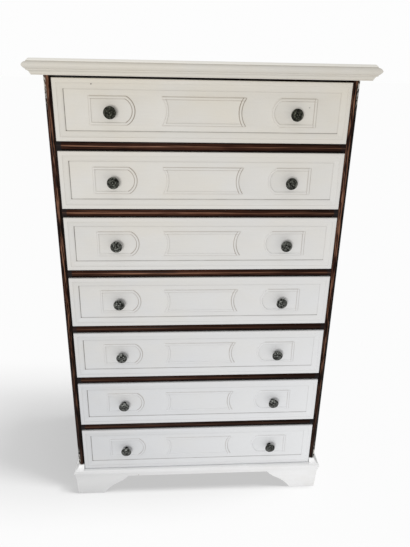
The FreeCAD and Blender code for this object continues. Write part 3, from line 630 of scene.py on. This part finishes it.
SHAVING = 0.0011
paint_front = front_marks()
for number in DRAWERS:
    node = f"drawer_{number}_front"
    front = softened(node, 0.0007)
    if number == 7:
        # the lowest front was left a shaving deeper, so that it closes on the plinth
        for corner in front.data.vertices:
            if corner.co.z < CASE_FLOOR + 0.0030:
                corner.co.z -= SHAVING
    hand_over(front, f"drawer_{number}", paint_front, node)
    dress(f"drawer_{number}_sides", bare_deep)
    dress(f"drawer_{number}_back", bare_along)
    dress(f"drawer_{number}_bottom", bare_along)

# Knobs: cast metal, patinated near black, with a rosette in low relief on the head and a small
# rose at the foot of the neck. A square shank goes through the front to a zinc-plated nut.

PATINA_BLACK = (0.004, 0.004, 0.003, 1)
PATINA_DIRT = (0.002, 0.002, 0.0015, 1)
PATINA_THIN_HIGH = (0.045, 0.046, 0.034, 1)
PATINA_THIN_LOW = (0.150, 0.155, 0.145, 1)
RUBBED_METAL = (0.30, 0.29, 0.23, 1)


def patinated():
    """Near-black patina, rubbed back to a dull brown metal on the raised parts."""
    material, tree, shader, place = new_material("dark_metal_patina")
    _, y, z = along_axes(tree, place)
    edges = place_group(tree, edge_group, {"Position": place, "Reach": 0.0018})
    cloud = stretched_noise(tree, place, EVEN, 0.005, 4.0, 0.6)
    thin = blend_colours(tree, spread(tree, z, 1.25, 0.55), PATINA_THIN_HIGH, PATINA_THIN_LOW)
    colour = blend_colours(tree, spread(tree, cloud, 0.42, 0.62), PATINA_BLACK, thin)
    # behind the head the knob is black: patina never rubbed, and painted shade
    behind_head = spread(tree, y, FIELD_FACE - 0.0185, FIELD_FACE - 0.0170, 0.0, 0.9)
    marked(tree, shader, colour, [(edges["Worn"], RUBBED_METAL), (edges["Dirt and shade"], PATINA_DIRT),
                                  (behind_head, PATINA_BLACK)])
    tree.links.new(spread(tree, cloud, 0.3, 0.7, 0.26, 0.44), shader.inputs["Roughness"])
    shader.inputs["Metallic"].default_value = 0.9
    shader.inputs["Specular IOR Level"].default_value = 0.3
    bump(tree, shader, cloud, 0.0003, 0.4)
    return material


def zinc():
    """Zinc plate gone dull, darker in patches."""
    material, tree, shader, place = new_material("zinc_plate")
    cloud = stretched_noise(tree, place, EVEN, 0.004, 3.0, 0.6)
    edges = place_group(tree, edge_group, {"Position": place, "Reach": 0.002})
    colour = blend_colours(tree, spread(tree, cloud, 0.3, 0.7), (0.30, 0.30, 0.29, 1),
                           (0.52, 0.52, 0.50, 1))
    marked(tree, shader, colour,
           [(maths(tree, "MULTIPLY", edges["Worn"], 0.5), (0.66, 0.66, 0.64, 1))])
    tree.links.new(spread(tree, cloud, 0.3, 0.7, 0.3, 0.5), shader.inputs["Roughness"])
    shader.inputs["Metallic"].default_value = 0.9
    bump(tree, shader, cloud, 0.0002, 0.4)
    return material


TURNED_STEPS = 56
ROSE_RADIUS = 6.4
# radius and distance out from the field, in millimetres, from the rose to the crown
KNOB_RINGS = [(ROSE_RADIUS, 0.5), (6.2, 1.5), (5.7, 3.0), (5.6, 6.0), (5.9, 9.0),
              (6.9, 11.5), (8.8, 13.6), (11.6, 15.4), (14.6, 16.9), (16.1, 17.9), (16.2, 18.6),
              (15.7, 19.3), (14.8, 19.7), (13.9, 19.7), (13.1, 19.3), (12.4, 19.2), (11.4, 19.7),
              (10.2, 20.4), (9.0, 20.9), (7.8, 21.2), (6.6, 21.4), (5.4, 21.5), (4.6, 21.2),
              (4.0, 21.1), (3.5, 21.9), (2.6, 22.6), (1.4, 22.9)]
PETALS = 8
PETAL_HEIGHT = 0.0012
ROSETTE_INSIDE, ROSETTE_OUTSIDE, ROSETTE_FOOT = 0.0050, 0.0122, -0.0192


def turned_knob():
    """One knob about the Y axis, its foot at the origin and its crown towards -Y."""
    bpy.ops.object.select_all(action="DESELECT")
    bpy.ops.mesh.primitive_circle_add(vertices=TURNED_STEPS, radius=ROSE_RADIUS / 1000,
                                      fill_type="NGON", rotation=(math.pi / 2, 0, 0))
    knob = bpy.context.object
    bpy.ops.object.transform_apply(location=True, rotation=True, scale=True)
    bpy.ops.object.mode_set(mode="EDIT")
    bpy.ops.mesh.select_all(action="SELECT")
    radius, reach = ROSE_RADIUS, 0.0
    for next_radius, next_reach in KNOB_RINGS:
        bpy.ops.mesh.extrude_region_move(
            TRANSFORM_OT_translate={"value": (0, (reach - next_reach) / 1000, 0)})
        bpy.ops.transform.resize(value=(next_radius / radius, 1, next_radius / radius),
                                 center_override=(0, 0, 0))
        radius, reach = next_radius, next_reach
    bpy.ops.mesh.poke()
    bpy.ops.mesh.select_all(action="SELECT")
    bpy.ops.mesh.normals_make_consistent(inside=False)
    bpy.ops.object.mode_set(mode="OBJECT")
    for corner in knob.data.vertices:
        away = math.hypot(corner.co.x, corner.co.z)
        if ROSETTE_INSIDE < away < ROSETTE_OUTSIDE and corner.co.y < ROSETTE_FOOT:
            # a petal swells from both of its ends, and falls away between two petals
            along = (away - ROSETTE_INSIDE) / (ROSETTE_OUTSIDE - ROSETTE_INSIDE)
            turn = math.atan2(corner.co.z, corner.co.x) * PETALS / 2
            petal = abs(math.cos(turn)) ** 0.6 - 0.5
            corner.co.y -= PETAL_HEIGHT * math.sin(math.pi * along) * petal
    return knob


SHANK_SIDE = 0.0044
SHANK_LENGTH = 0.0210


def square_shank():
    """The shank behind the rose, its end chamfered to start the nut."""
    bpy.ops.object.select_all(action="DESELECT")
    bpy.ops.mesh.primitive_cube_add(size=1, location=(0, SHANK_LENGTH / 2, 0),
                                    scale=(SHANK_SIDE, SHANK_LENGTH, SHANK_SIDE))
    shank = bpy.context.object
    bpy.ops.object.transform_apply(location=True, rotation=True, scale=True)
    chamfer = shank.modifiers.new("chamfer", "BEVEL")
    chamfer.width = 0.0005
    bpy.ops.object.modifier_apply(modifier="chamfer")
    return shank


shank = square_shank()
knob = turned_knob()
shank.select_set(True)
bpy.ops.object.join()
bpy.ops.object.shade_smooth_by_angle(angle=math.radians(40))
patina = patinated()
plate = zinc()
KNOB_SPREAD = 0.240
DRAWER_TURN = 67
RIGHT_HAND_TURN = 31
for number in DRAWERS:
    knobs_low, knobs_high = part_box(f"drawer_{number}_knobs")
    height = (knobs_low[2] + knobs_high[2]) / 2
    for hand, across, further in (("left", -KNOB_SPREAD, 0),
                                  ("right", KNOB_SPREAD, RIGHT_HAND_TURN)):
        fitted = knob.copy()
        fitted.data = knob.data.copy()
        fitted.name = f"drawer_{number}_knob_{hand}"
        # each head stopped at an angle of its own when its nut was tight
        turned = Matrix.Rotation(math.radians(number * DRAWER_TURN + further), 4, "Y")
        fitted.data.transform(Matrix.Translation((across, FIELD_FACE, height)) @ turned)
        bpy.context.collection.objects.link(fitted)
        hand_over(fitted, f"drawer_{number}", patina, f"drawer_{number}_knobs")
    dress(f"drawer_{number}_knob_nuts", plate)
bpy.data.objects.remove(knob)

# Studio: a pale floor that keeps the chest's shadow and throws a little light back at it, a
# white surround and an even sky. A lamp at the front left and a broad one overhead light the
# chest, and three on the right light the floor and draw the shadow on it.

bpy.ops.object.select_all(action="DESELECT")
bpy.ops.mesh.primitive_plane_add(size=60, location=(0, 20, -0.0005))
bpy.ops.object.transform_apply(location=True, rotation=False, scale=False)
floor = bpy.context.object
floor.name = "studio_floor"
floor_material, tree, shader, place = new_material("studio_floor_paint")
shader.inputs["Base Color"].default_value = (0.05, 0.05, 0.05, 1)
shader.inputs["Roughness"].default_value = 0.9
shader.inputs["Specular IOR Level"].default_value = 0.0
shader.inputs["Emission Color"].default_value = (1, 1, 1, 1)


def seen_directly(tree, unseen, seen):
    """Output that is seen where the camera, a reflection or a refraction sees the surface."""
    rays = wire(tree, "ShaderNodeLightPath", {}).outputs
    direct = maths(tree, "MAXIMUM", rays["Is Camera Ray"], rays["Is Glossy Ray"],
                   rays["Is Transmission Ray"])
    return spread(tree, direct, 0.0, 1.0, unseen, seen)


BRIGHT_FLOOR = (0.95, -0.95, 0)
FLOOR_SEEN = 0.54
thrown_back = spread(tree, distance_from(tree, place, BRIGHT_FLOOR), 0.5, 1.7, 0.55, 0.12)
tree.links.new(seen_directly(tree, thrown_back, FLOOR_SEEN), shader.inputs["Emission Strength"])
floor_material.cycles.emission_sampling = "NONE"
floor.data.materials.append(floor_material)

SKY_LIGHT, SKY_SEEN = 0.38, 0.982
world = bpy.data.worlds.new("studio")
bpy.context.scene.world = world
world.use_nodes = True
sky = world.node_tree
sky.nodes.clear()
background = wire(sky, "ShaderNodeBackground",
                  {"Color": (1, 1, 1, 1), "Strength": seen_directly(sky, SKY_LIGHT, SKY_SEEN)})
wire(sky, "ShaderNodeOutputWorld", {"Surface": background.outputs[0]})


def hang(lamp_data, place, towards, floor_state):
    """Hang a lamp that shines away from towards, on the floor alone or on all but the floor."""
    lamp = bpy.data.objects.new(lamp_data.name, lamp_data)
    lamp.location = place
    lamp.rotation_euler = Vector(towards).to_track_quat("Z", "Y").to_euler()
    lamp.visible_camera = False
    bpy.context.collection.objects.link(lamp)
    lit = bpy.data.collections.new(lamp_data.name + "_lights")
    lit.objects.link(floor)
    lit.collection_objects[0].light_linking.link_state = floor_state
    lamp.light_linking.receiver_collection = lit


front_lamp = bpy.data.lights.new("front_lamp", "AREA")
front_lamp.size = 1.1
front_lamp.energy = 61
hang(front_lamp, (-0.85, -3.60, 1.15), (-0.85, -3.40, 0.45), "EXCLUDE")
high_lamp = bpy.data.lights.new("high_lamp", "AREA")
high_lamp.size = 8
high_lamp.energy = 190
hang(high_lamp, (0, -2.5, 9), (0, 0, 1), "EXCLUDE")
for name, towards, energy, width in (("low", (0.95, -0.31, 1.6), 11.5, 12),
                                     ("middle", (0.99, -0.14, 3.2), 11.5, 15),
                                     ("steep", (0.95, -0.30, 6.0), 5.4, 18)):
    floor_lamp = bpy.data.lights.new("floor_lamp_" + name, "SUN")
    floor_lamp.energy = energy
    floor_lamp.angle = math.radians(width)
    hang(floor_lamp, (0, 0, 3), towards, "INCLUDE")

# Camera: a little below the level of the top and left of the middle, looking down at the chest
# and slightly to the right, with one degree of tilt.

CAMERA_PLACE = (-0.0865, -1.5726, 1.3676)
camera_data = bpy.data.cameras.new("view")
camera_data.lens = 33.885
camera = bpy.data.objects.new("view", camera_data)
bpy.context.collection.objects.link(camera)
yaw, pitch, roll = math.radians(4.004), math.radians(22.133), math.radians(1.145)
ahead = Vector((math.sin(yaw) * math.cos(pitch), math.cos(yaw) * math.cos(pitch),
                -math.sin(pitch)))
level_right = Vector((math.cos(yaw), -math.sin(yaw), 0))
level_up = level_right.cross(ahead)
rolled_right = level_right * math.cos(roll) + level_up * math.sin(roll)
rolled_up = level_up * math.cos(roll) - level_right * math.sin(roll)
turn = Matrix((rolled_right, rolled_up, -ahead)).transposed()
camera.matrix_world = Matrix.Translation(CAMERA_PLACE) @ turn.to_4x4()
bpy.context.scene.camera = camera

bpy.context.scene.view_settings.view_transform = "Standard"
